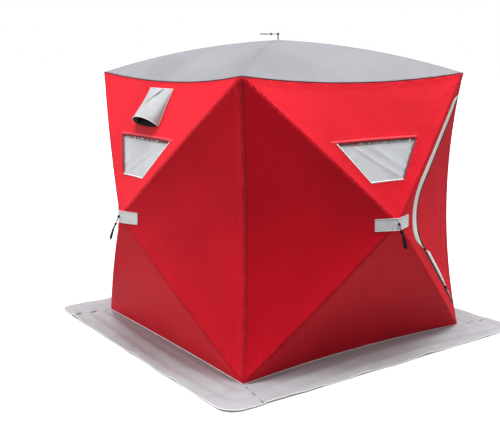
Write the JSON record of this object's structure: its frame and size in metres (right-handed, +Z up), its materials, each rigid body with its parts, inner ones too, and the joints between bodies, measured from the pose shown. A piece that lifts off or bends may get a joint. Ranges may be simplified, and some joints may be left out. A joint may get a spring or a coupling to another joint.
{
  "type": "pop-up ice fishing shelter",
  "caption": "Square pop-up shelter with hub-and-pole pop-out walls and roof, ground skirt, windows with blinds, vent hood and side door flap.",
  "frame": {"origin": "centre of the footprint on the ice, the middle of the object's bottom face", "axes": "+Z up, -Y out of the front wall (the one with the door), +X to the right seen from the front"},
  "size_m": [2.5924, 2.5924, 2.05],
  "materials": {
    "skirt_grey": "satin woven",
    "seam_red": "bound seam",
    "corner_patch": "reinforced weave",
    "wall_red": "coated woven, satin",
    "wall_red_door": "coated woven, satin",
    "roof_grey": "coated woven, satin",
    "pole_black": "glass fibre rod",
    "hub_black": "moulded nylon",
    "strap_black": "webbing and cord",
    "blind_grey": "light woven",
    "zip_metal": "black die-cast",
    "hood_grey": "coated woven"
  },
  "bodies": {
    "frame": {"snow_skirt": "skirt_grey", "corner_pockets": "corner_patch", "seam_bands": "seam_red"},
    "front_hub": {"front_hub": "hub_black"},
    "front_pole_upper_right": {"front_pole_upper_right": "pole_black"},
    "front_pole_upper_left": {"front_pole_upper_left": "pole_black"},
    "front_pole_lower_left": {"front_pole_lower_left": "pole_black"},
    "front_pole_lower_right": {"front_pole_lower_right": "pole_black"},
    "front_gore_top": {"front_gore_top": "wall_red"},
    "front_gore_left": {"front_gore_left": "wall_red"},
    "front_gore_bottom": {"front_gore_bottom": "wall_red"},
    "front_gore_right": {"front_gore_right": "wall_red"},
    "front_pull_strap": {"front_pull_strap": "strap_black"},
    "front_window_blind": {"front_window_blind": "blind_grey"},
    "front_door_flap": {"front_door_flap": "wall_red_door"},
    "front_zip_slider": {"front_zip_slider": "zip_metal"},
    "right_hub": {"right_hub": "hub_black"},
    "right_pole_upper_right": {"right_pole_upper_right": "pole_black"},
    "right_pole_upper_left": {"right_pole_upper_left": "pole_black"},
    "right_pole_lower_left": {"right_pole_lower_left": "pole_black"},
    "right_pole_lower_right": {"right_pole_lower_right": "pole_black"},
    "right_gore_top": {"right_gore_top": "wall_red"},
    "right_gore_left": {"right_gore_left": "wall_red"},
    "right_gore_bottom": {"right_gore_bottom": "wall_red"},
    "right_gore_right": {"right_gore_right": "wall_red"},
    "right_pull_strap": {"right_pull_strap": "strap_black"},
    "right_window_blind": {"right_window_blind": "blind_grey"},
    "back_hub": {"back_hub": "hub_black"},
    "back_pole_upper_right": {"back_pole_upper_right": "pole_black"},
    "back_pole_upper_left": {"back_pole_upper_left": "pole_black"},
    "back_pole_lower_left": {"back_pole_lower_left": "pole_black"},
    "back_pole_lower_right": {"back_pole_lower_right": "pole_black"},
    "back_gore_top": {"back_gore_top": "wall_red"},
    "back_gore_left": {"back_gore_left": "wall_red"},
    "back_gore_bottom": {"back_gore_bottom": "wall_red"},
    "back_gore_right": {"back_gore_right": "wall_red"},
    "back_pull_strap": {"back_pull_strap": "strap_black"},
    "back_window_blind": {"back_window_blind": "blind_grey"},
    "left_hub": {"left_hub": "hub_black"},
    "left_pole_upper_right": {"left_pole_upper_right": "pole_black"},
    "left_pole_upper_left": {"left_pole_upper_left": "pole_black"},
    "left_pole_lower_left": {"left_pole_lower_left": "pole_black"},
    "left_pole_lower_right": {"left_pole_lower_right": "pole_black"},
    "left_gore_top": {"left_gore_top": "wall_red"},
    "left_gore_left": {"left_gore_left": "wall_red"},
    "left_gore_bottom": {"left_gore_bottom": "wall_red"},
    "left_gore_right": {"left_gore_right": "wall_red"},
    "left_pull_strap": {"left_pull_strap": "strap_black"},
    "left_window_blind": {"left_window_blind": "blind_grey"},
    "left_vent_hood": {"left_vent_hood": "hood_grey"},
    "roof_hub": {"roof_hub": "hub_black"},
    "roof_pole_upper_right": {"roof_pole_upper_right": "pole_black"},
    "roof_pole_upper_left": {"roof_pole_upper_left": "pole_black"},
    "roof_pole_lower_left": {"roof_pole_lower_left": "pole_black"},
    "roof_pole_lower_right": {"roof_pole_lower_right": "pole_black"},
    "roof_gore_top": {"roof_gore_top": "roof_grey"},
    "roof_gore_left": {"roof_gore_left": "roof_grey"},
    "roof_gore_bottom": {"roof_gore_bottom": "roof_grey"},
    "roof_gore_right": {"roof_gore_right": "roof_grey"},
    "roof_pull_strap": {"roof_pull_strap": "strap_black"}
  },
  "joints": [
    {"name": "front_hub_pop", "type": "slide", "parent": "frame", "child": "front_hub", "axis": [0, 1, 0], "range_m": [0, 0.646]},
    {"name": "front_pole_upper_right_pin", "type": "hinge", "parent": "front_hub", "child": "front_pole_upper_right", "pos_m": [0.02999, -1.183, 0.92091], "axis": [0.7001, 0, -0.714], "range_deg": [0, 31.61]},
    {"name": "front_pole_upper_left_pin", "type": "hinge", "parent": "front_hub", "child": "front_pole_upper_left", "pos_m": [-0.02999, -1.183, 0.92091], "axis": [0.7001, 0, 0.714], "range_deg": [0, 31.61]},
    {"name": "front_pole_lower_left_pin", "type": "hinge", "parent": "front_hub", "child": "front_pole_lower_left", "pos_m": [-0.02999, -1.183, 0.86209], "axis": [-0.7001, 0, 0.714], "range_deg": [0, 31.61]},
    {"name": "front_pole_lower_right_pin", "type": "hinge", "parent": "front_hub", "child": "front_pole_lower_right", "pos_m": [0.02999, -1.183, 0.86209], "axis": [-0.7001, 0, -0.714], "range_deg": [0, 31.61]},
    {"name": "front_gore_top_seam", "type": "hinge", "parent": "frame", "child": "front_gore_top", "pos_m": [0, -0.9, 1.73], "axis": [1, 0, 0], "range_deg": [0, 42.14]},
    {"name": "front_gore_left_seam", "type": "hinge", "parent": "frame", "child": "front_gore_left", "pos_m": [-0.855, -0.9, 0.8915], "axis": [0, 0, 1], "range_deg": [0, 41.4]},
    {"name": "front_gore_bottom_seam", "type": "hinge", "parent": "frame", "child": "front_gore_bottom", "pos_m": [0, -0.9, 0.053], "axis": [-1, 0, 0], "range_deg": [0, 42.14]},
    {"name": "front_gore_right_seam", "type": "hinge", "parent": "frame", "child": "front_gore_right", "pos_m": [0.855, -0.9, 0.8915], "axis": [0, 0, -1], "range_deg": [0, 41.4]},
    {"name": "front_strap_swing", "type": "hinge", "parent": "front_hub", "child": "front_pull_strap", "pos_m": [0, -1.232, 0.8915], "axis": [-1, 0, 0], "range_deg": [0, 130]},
    {"name": "front_blind_fold", "type": "hinge", "parent": "front_gore_top", "child": "front_window_blind", "pos_m": [0, -1.12281, 1.1225], "axis": [-1, 0, 0], "range_deg": [0, 140]},
    {"name": "front_door_swing", "type": "hinge", "parent": "front_gore_right", "child": "front_door_flap", "pos_m": [0.7, -0.95158, 0.8915], "axis": [0, 0, 1], "range_deg": [0, 110]},
    {"name": "front_zip_run", "type": "slide", "parent": "front_gore_right", "child": "front_zip_slider", "axis": [-0.683, -0.259, 0.683], "range_m": [0, 0.51]},
    {"name": "right_hub_pop", "type": "slide", "parent": "frame", "child": "right_hub", "axis": [-1, 0, 0], "range_m": [0, 0.646]},
    {"name": "right_pole_upper_right_pin", "type": "hinge", "parent": "right_hub", "child": "right_pole_upper_right", "pos_m": [1.183, 0.02999, 0.92091], "axis": [0, 0.7001, -0.714], "range_deg": [0, 31.61]},
    {"name": "right_pole_upper_left_pin", "type": "hinge", "parent": "right_hub", "child": "right_pole_upper_left", "pos_m": [1.183, -0.02999, 0.92091], "axis": [0, 0.7001, 0.714], "range_deg": [0, 31.61]},
    {"name": "right_pole_lower_left_pin", "type": "hinge", "parent": "right_hub", "child": "right_pole_lower_left", "pos_m": [1.183, -0.02999, 0.86209], "axis": [0, -0.7001, 0.714], "range_deg": [0, 31.61]},
    {"name": "right_pole_lower_right_pin", "type": "hinge", "parent": "right_hub", "child": "right_pole_lower_right", "pos_m": [1.183, 0.02999, 0.86209], "axis": [0, -0.7001, -0.714], "range_deg": [0, 31.61]},
    {"name": "right_gore_top_seam", "type": "hinge", "parent": "frame", "child": "right_gore_top", "pos_m": [0.9, 0, 1.73], "axis": [0, 1, 0], "range_deg": [0, 42.14]},
    {"name": "right_gore_left_seam", "type": "hinge", "parent": "frame", "child": "right_gore_left", "pos_m": [0.9, -0.855, 0.8915], "axis": [0, 0, 1], "range_deg": [0, 41.4]},
    {"name": "right_gore_bottom_seam", "type": "hinge", "parent": "frame", "child": "right_gore_bottom", "pos_m": [0.9, 0, 0.053], "axis": [0, -1, 0], "range_deg": [0, 42.14]},
    {"name": "right_gore_right_seam", "type": "hinge", "parent": "frame", "child": "right_gore_right", "pos_m": [0.9, 0.855, 0.8915], "axis": [0, 0, -1], "range_deg": [0, 41.4]},
    {"name": "right_strap_swing", "type": "hinge", "parent": "right_hub", "child": "right_pull_strap", "pos_m": [1.232, 0, 0.8915], "axis": [0, -1, 0], "range_deg": [0, 130]},
    {"name": "right_blind_fold", "type": "hinge", "parent": "right_gore_top", "child": "right_window_blind", "pos_m": [1.12281, 0, 1.1225], "axis": [0, -1, 0], "range_deg": [0, 140]},
    {"name": "back_hub_pop", "type": "slide", "parent": "frame", "child": "back_hub", "axis": [0, -1, 0], "range_m": [0, 0.646]},
    {"name": "back_pole_upper_right_pin", "type": "hinge", "parent": "back_hub", "child": "back_pole_upper_right", "pos_m": [-0.02999, 1.183, 0.92091], "axis": [-0.7001, 0, -0.714], "range_deg": [0, 31.61]},
    {"name": "back_pole_upper_left_pin", "type": "hinge", "parent": "back_hub", "child": "back_pole_upper_left", "pos_m": [0.02999, 1.183, 0.92091], "axis": [-0.7001, 0, 0.714], "range_deg": [0, 31.61]},
    {"name": "back_pole_lower_left_pin", "type": "hinge", "parent": "back_hub", "child": "back_pole_lower_left", "pos_m": [0.02999, 1.183, 0.86209], "axis": [0.7001, 0, 0.714], "range_deg": [0, 31.61]},
    {"name": "back_pole_lower_right_pin", "type": "hinge", "parent": "back_hub", "child": "back_pole_lower_right", "pos_m": [-0.02999, 1.183, 0.86209], "axis": [0.7001, 0, -0.714], "range_deg": [0, 31.61]},
    {"name": "back_gore_top_seam", "type": "hinge", "parent": "frame", "child": "back_gore_top", "pos_m": [0, 0.9, 1.73], "axis": [-1, 0, 0], "range_deg": [0, 42.14]},
    {"name": "back_gore_left_seam", "type": "hinge", "parent": "frame", "child": "back_gore_left", "pos_m": [0.855, 0.9, 0.8915], "axis": [0, 0, 1], "range_deg": [0, 41.4]},
    {"name": "back_gore_bottom_seam", "type": "hinge", "parent": "frame", "child": "back_gore_bottom", "pos_m": [0, 0.9, 0.053], "axis": [1, 0, 0], "range_deg": [0, 42.14]},
    {"name": "back_gore_right_seam", "type": "hinge", "parent": "frame", "child": "back_gore_right", "pos_m": [-0.855, 0.9, 0.8915], "axis": [0, 0, -1], "range_deg": [0, 41.4]},
    {"name": "back_strap_swing", "type": "hinge", "parent": "back_hub", "child": "back_pull_strap", "pos_m": [0, 1.232, 0.8915], "axis": [1, 0, 0], "range_deg": [0, 130]},
    {"name": "back_blind_fold", "type": "hinge", "parent": "back_gore_top", "child": "back_window_blind", "pos_m": [0, 1.12281, 1.1225], "axis": [1, 0, 0], "range_deg": [0, 140]},
    {"name": "left_hub_pop", "type": "slide", "parent": "frame", "child": "left_hub", "axis": [1, 0, 0], "range_m": [0, 0.646]},
    {"name": "left_pole_upper_right_pin", "type": "hinge", "parent": "left_hub", "child": "left_pole_upper_right", "pos_m": [-1.183, -0.02999, 0.92091], "axis": [0, -0.7001, -0.714], "range_deg": [0, 31.61]},
    {"name": "left_pole_upper_left_pin", "type": "hinge", "parent": "left_hub", "child": "left_pole_upper_left", "pos_m": [-1.183, 0.02999, 0.92091], "axis": [0, -0.7001, 0.714], "range_deg": [0, 31.61]},
    {"name": "left_pole_lower_left_pin", "type": "hinge", "parent": "left_hub", "child": "left_pole_lower_left", "pos_m": [-1.183, 0.02999, 0.86209], "axis": [0, 0.7001, 0.714], "range_deg": [0, 31.61]},
    {"name": "left_pole_lower_right_pin", "type": "hinge", "parent": "left_hub", "child": "left_pole_lower_right", "pos_m": [-1.183, -0.02999, 0.86209], "axis": [0, 0.7001, -0.714], "range_deg": [0, 31.61]},
    {"name": "left_gore_top_seam", "type": "hinge", "parent": "frame", "child": "left_gore_top", "pos_m": [-0.9, 0, 1.73], "axis": [0, -1, 0], "range_deg": [0, 42.14]},
    {"name": "left_gore_left_seam", "type": "hinge", "parent": "frame", "child": "left_gore_left", "pos_m": [-0.9, 0.855, 0.8915], "axis": [0, 0, 1], "range_deg": [0, 41.4]},
    {"name": "left_gore_bottom_seam", "type": "hinge", "parent": "frame", "child": "left_gore_bottom", "pos_m": [-0.9, 0, 0.053], "axis": [0, 1, 0], "range_deg": [0, 42.14]},
    {"name": "left_gore_right_seam", "type": "hinge", "parent": "frame", "child": "left_gore_right", "pos_m": [-0.9, -0.855, 0.8915], "axis": [0, 0, -1], "range_deg": [0, 41.4]},
    {"name": "left_strap_swing", "type": "hinge", "parent": "left_hub", "child": "left_pull_strap", "pos_m": [-1.232, 0, 0.8915], "axis": [0, 1, 0], "range_deg": [0, 130]},
    {"name": "left_blind_fold", "type": "hinge", "parent": "left_gore_top", "child": "left_window_blind", "pos_m": [-1.12281, 0, 1.1225], "axis": [0, 1, 0], "range_deg": [0, 140]},
    {"name": "left_vent_lift", "type": "hinge", "parent": "left_gore_top", "child": "left_vent_hood", "pos_m": [-0.89133, 0, 1.6465], "axis": [0, 1, 0], "range_deg": [0, 60]},
    {"name": "roof_hub_pop", "type": "slide", "parent": "frame", "child": "roof_hub", "axis": [0, 0, -1], "range_m": [0, 0.45]},
    {"name": "roof_pole_upper_right_pin", "type": "hinge", "parent": "roof_hub", "child": "roof_pole_upper_right", "pos_m": [0.0297, 0.0297, 1.96], "axis": [0.7071, -0.7071, 0], "range_deg": [0, 22.05]},
    {"name": "roof_pole_upper_left_pin", "type": "hinge", "parent": "roof_hub", "child": "roof_pole_upper_left", "pos_m": [-0.0297, 0.0297, 1.96], "axis": [0.7071, 0.7071, 0], "range_deg": [0, 22.05]},
    {"name": "roof_pole_lower_left_pin", "type": "hinge", "parent": "roof_hub", "child": "roof_pole_lower_left", "pos_m": [-0.0297, -0.0297, 1.96], "axis": [-0.7071, 0.7071, 0], "range_deg": [0, 22.05]},
    {"name": "roof_pole_lower_right_pin", "type": "hinge", "parent": "roof_hub", "child": "roof_pole_lower_right", "pos_m": [0.0297, -0.0297, 1.96], "axis": [-0.7071, -0.7071, 0], "range_deg": [0, 22.05]},
    {"name": "roof_gore_top_seam", "type": "hinge", "parent": "frame", "child": "roof_gore_top", "pos_m": [0, 0.9, 1.775], "axis": [1, 0, 0], "range_deg": [0, 28.08]},
    {"name": "roof_gore_left_seam", "type": "hinge", "parent": "frame", "child": "roof_gore_left", "pos_m": [-0.9, 0, 1.775], "axis": [0, 1, 0], "range_deg": [0, 28.08]},
    {"name": "roof_gore_bottom_seam", "type": "hinge", "parent": "frame", "child": "roof_gore_bottom", "pos_m": [0, -0.9, 1.775], "axis": [-1, 0, 0], "range_deg": [0, 28.08]},
    {"name": "roof_gore_right_seam", "type": "hinge", "parent": "frame", "child": "roof_gore_right", "pos_m": [0.9, 0, 1.775], "axis": [0, -1, 0], "range_deg": [0, 28.08]},
    {"name": "roof_strap_swing", "type": "hinge", "parent": "roof_hub", "child": "roof_pull_strap", "pos_m": [0, 0, 2.042], "axis": [0.7071, 0.7071, 0], "range_deg": [0, 170]}
  ],
  "couplings": [
    {"joint": "front_pole_upper_right_pin", "follows": "front_hub_pop", "rad_per_m": 0.8538},
    {"joint": "front_pole_upper_left_pin", "follows": "front_hub_pop", "rad_per_m": 0.8538},
    {"joint": "front_pole_lower_left_pin", "follows": "front_hub_pop", "rad_per_m": 0.8538},
    {"joint": "front_pole_lower_right_pin", "follows": "front_hub_pop", "rad_per_m": 0.8538},
    {"joint": "front_gore_top_seam", "follows": "front_hub_pop", "rad_per_m": 1.1384},
    {"joint": "front_gore_left_seam", "follows": "front_hub_pop", "rad_per_m": 1.1183},
    {"joint": "front_gore_bottom_seam", "follows": "front_hub_pop", "rad_per_m": 1.1384},
    {"joint": "front_gore_right_seam", "follows": "front_hub_pop", "rad_per_m": 1.1183},
    {"joint": "right_pole_upper_right_pin", "follows": "right_hub_pop", "rad_per_m": 0.8538},
    {"joint": "right_pole_upper_left_pin", "follows": "right_hub_pop", "rad_per_m": 0.8538},
    {"joint": "right_pole_lower_left_pin", "follows": "right_hub_pop", "rad_per_m": 0.8538},
    {"joint": "right_pole_lower_right_pin", "follows": "right_hub_pop", "rad_per_m": 0.8538},
    {"joint": "right_gore_top_seam", "follows": "right_hub_pop", "rad_per_m": 1.1384},
    {"joint": "right_gore_left_seam", "follows": "right_hub_pop", "rad_per_m": 1.1183},
    {"joint": "right_gore_bottom_seam", "follows": "right_hub_pop", "rad_per_m": 1.1384},
    {"joint": "right_gore_right_seam", "follows": "right_hub_pop", "rad_per_m": 1.1183},
    {"joint": "back_pole_upper_right_pin", "follows": "back_hub_pop", "rad_per_m": 0.8538},
    {"joint": "back_pole_upper_left_pin", "follows": "back_hub_pop", "rad_per_m": 0.8538},
    {"joint": "back_pole_lower_left_pin", "follows": "back_hub_pop", "rad_per_m": 0.8538},
    {"joint": "back_pole_lower_right_pin", "follows": "back_hub_pop", "rad_per_m": 0.8538},
    {"joint": "back_gore_top_seam", "follows": "back_hub_pop", "rad_per_m": 1.1384},
    {"joint": "back_gore_left_seam", "follows": "back_hub_pop", "rad_per_m": 1.1183},
    {"joint": "back_gore_bottom_seam", "follows": "back_hub_pop", "rad_per_m": 1.1384},
    {"joint": "back_gore_right_seam", "follows": "back_hub_pop", "rad_per_m": 1.1183},
    {"joint": "left_pole_upper_right_pin", "follows": "left_hub_pop", "rad_per_m": 0.8538},
    {"joint": "left_pole_upper_left_pin", "follows": "left_hub_pop", "rad_per_m": 0.8538},
    {"joint": "left_pole_lower_left_pin", "follows": "left_hub_pop", "rad_per_m": 0.8538},
    {"joint": "left_pole_lower_right_pin", "follows": "left_hub_pop", "rad_per_m": 0.8538},
    {"joint": "left_gore_top_seam", "follows": "left_hub_pop", "rad_per_m": 1.1384},
    {"joint": "left_gore_left_seam", "follows": "left_hub_pop", "rad_per_m": 1.1183},
    {"joint": "left_gore_bottom_seam", "follows": "left_hub_pop", "rad_per_m": 1.1384},
    {"joint": "left_gore_right_seam", "follows": "left_hub_pop", "rad_per_m": 1.1183},
    {"joint": "roof_pole_upper_right_pin", "follows": "roof_hub_pop", "rad_per_m": 0.85494},
    {"joint": "roof_pole_upper_left_pin", "follows": "roof_hub_pop", "rad_per_m": 0.85494},
    {"joint": "roof_pole_lower_left_pin", "follows": "roof_hub_pop", "rad_per_m": 0.85494},
    {"joint": "roof_pole_lower_right_pin", "follows": "roof_hub_pop", "rad_per_m": 0.85494},
    {"joint": "roof_gore_top_seam", "follows": "roof_hub_pop", "rad_per_m": 1.0888},
    {"joint": "roof_gore_left_seam", "follows": "roof_hub_pop", "rad_per_m": 1.0888},
    {"joint": "roof_gore_bottom_seam", "follows": "roof_hub_pop", "rad_per_m": 1.0888},
    {"joint": "roof_gore_right_seam", "follows": "roof_hub_pop", "rad_per_m": 1.0888}
  ]
}
